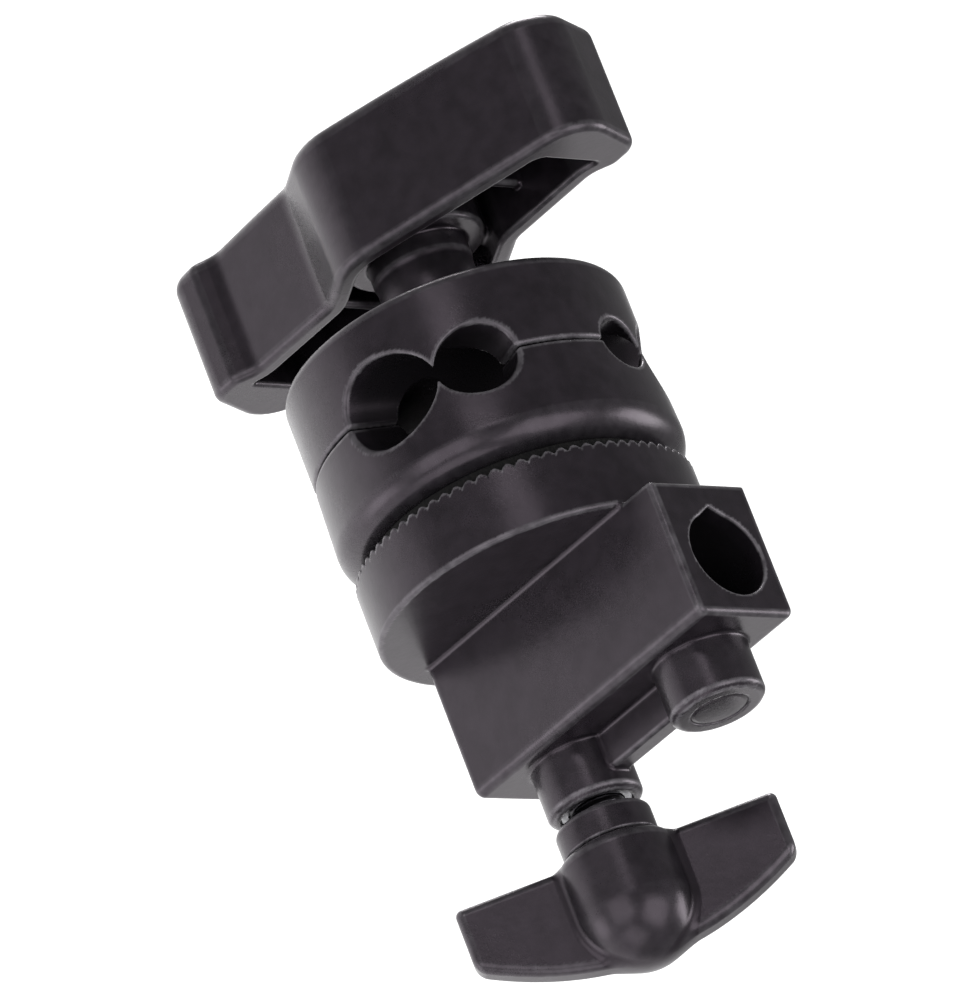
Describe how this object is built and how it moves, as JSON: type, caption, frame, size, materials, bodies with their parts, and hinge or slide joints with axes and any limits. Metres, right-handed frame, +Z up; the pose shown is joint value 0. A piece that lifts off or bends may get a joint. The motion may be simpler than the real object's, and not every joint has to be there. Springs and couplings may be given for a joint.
{
  "type": "grip head clamp",
  "caption": "Grip head for lighting stands: a socket with a wing screw carries a swivelling pair of grooved round jaws, squeezed shut by a T-handle.",
  "frame": {"origin": "on the stand-pin socket's axis, at its lower mouth", "axes": "+Z up the socket, as it stands on a stand's pin; +X along the head's bolt, towards the T-handle"},
  "size_m": [0.1574, 0.0634, 0.0954],
  "materials": {
    "black_paint": "semi-gloss black paint on a die casting",
    "plated_steel": "zinc-plated steel",
    "spring_steel": "oiled spring steel",
    "black_oxide": "black-oxide steel, oiled",
    "ground_steel": "ground steel",
    "black_fibre": "matt black friction fibre",
    "black_plastic": "black moulded plastic",
    "brass": "turned brass"
  },
  "bodies": {
    "casting": {"body_casting": "black_paint", "main_bolt": "plated_steel", "bolt_cross_pin": "spring_steel", "friction_disc": "black_fibre", "bolt_stop_washer": "plated_steel", "bolt_stop_nut": "plated_steel", "screw_bush": "plated_steel", "boss_badge": "black_paint"},
    "inner_jaw_set": {"inner_jaw": "black_paint", "jaw_guide_pins": "spring_steel", "jaw_spring": "spring_steel"},
    "outer_jaw_set": {"outer_jaw": "black_paint"},
    "thrust_bearing": {"thrust_washer_lower": "ground_steel", "roller_cage": "brass", "needle_rollers": "ground_steel", "thrust_washer_upper": "ground_steel"},
    "handle_set": {"t_handle": "black_paint", "handle_insert": "plated_steel", "handle_cap": "black_plastic"},
    "pad": {"pressure_pad": "brass"},
    "wing_screw": {"clamp_screw": "black_oxide", "wing_knob": "black_paint", "wing_cross_pin": "spring_steel"}
  },
  "joints": [
    {"name": "jaw_swivel", "type": "hinge", "parent": "casting", "child": "inner_jaw_set", "pos_m": [0.0139, 0.0035, 0.0252], "axis": [1, 0, 0], "continuous": true},
    {"name": "outer_jaw_slide", "type": "slide", "parent": "inner_jaw_set", "child": "outer_jaw_set", "axis": [1, 0, 0], "range_m": [0, 0.0075], "deforming": ["jaw_spring"]},
    {"name": "handle_lift", "type": "slide", "parent": "casting", "child": "thrust_bearing", "axis": [1, 0, 0], "range_m": [0, 0.0075]},
    {"name": "handle_spin", "type": "hinge", "parent": "thrust_bearing", "child": "handle_set", "pos_m": [0.0139, 0.0035, 0.0252], "axis": [1, 0, 0], "range_deg": [0, 1800]},
    {"name": "pad_slide", "type": "slide", "parent": "casting", "child": "pad", "axis": [-1, 0, 0], "range_m": [-0.0015, 0.006]},
    {"name": "wing_spin", "type": "hinge", "parent": "pad", "child": "wing_screw", "pos_m": [-0.02, 0, 0.0145], "axis": [-1, 0, 0], "range_deg": [-360, 1440]}
  ],
  "couplings": [
    {"joint": "outer_jaw_slide", "follows": "handle_spin", "m_per_rad": 0.00023873},
    {"joint": "handle_lift", "follows": "handle_spin", "m_per_rad": 0.00023873},
    {"joint": "pad_slide", "follows": "wing_spin", "m_per_rad": 0.00023873}
  ]
}
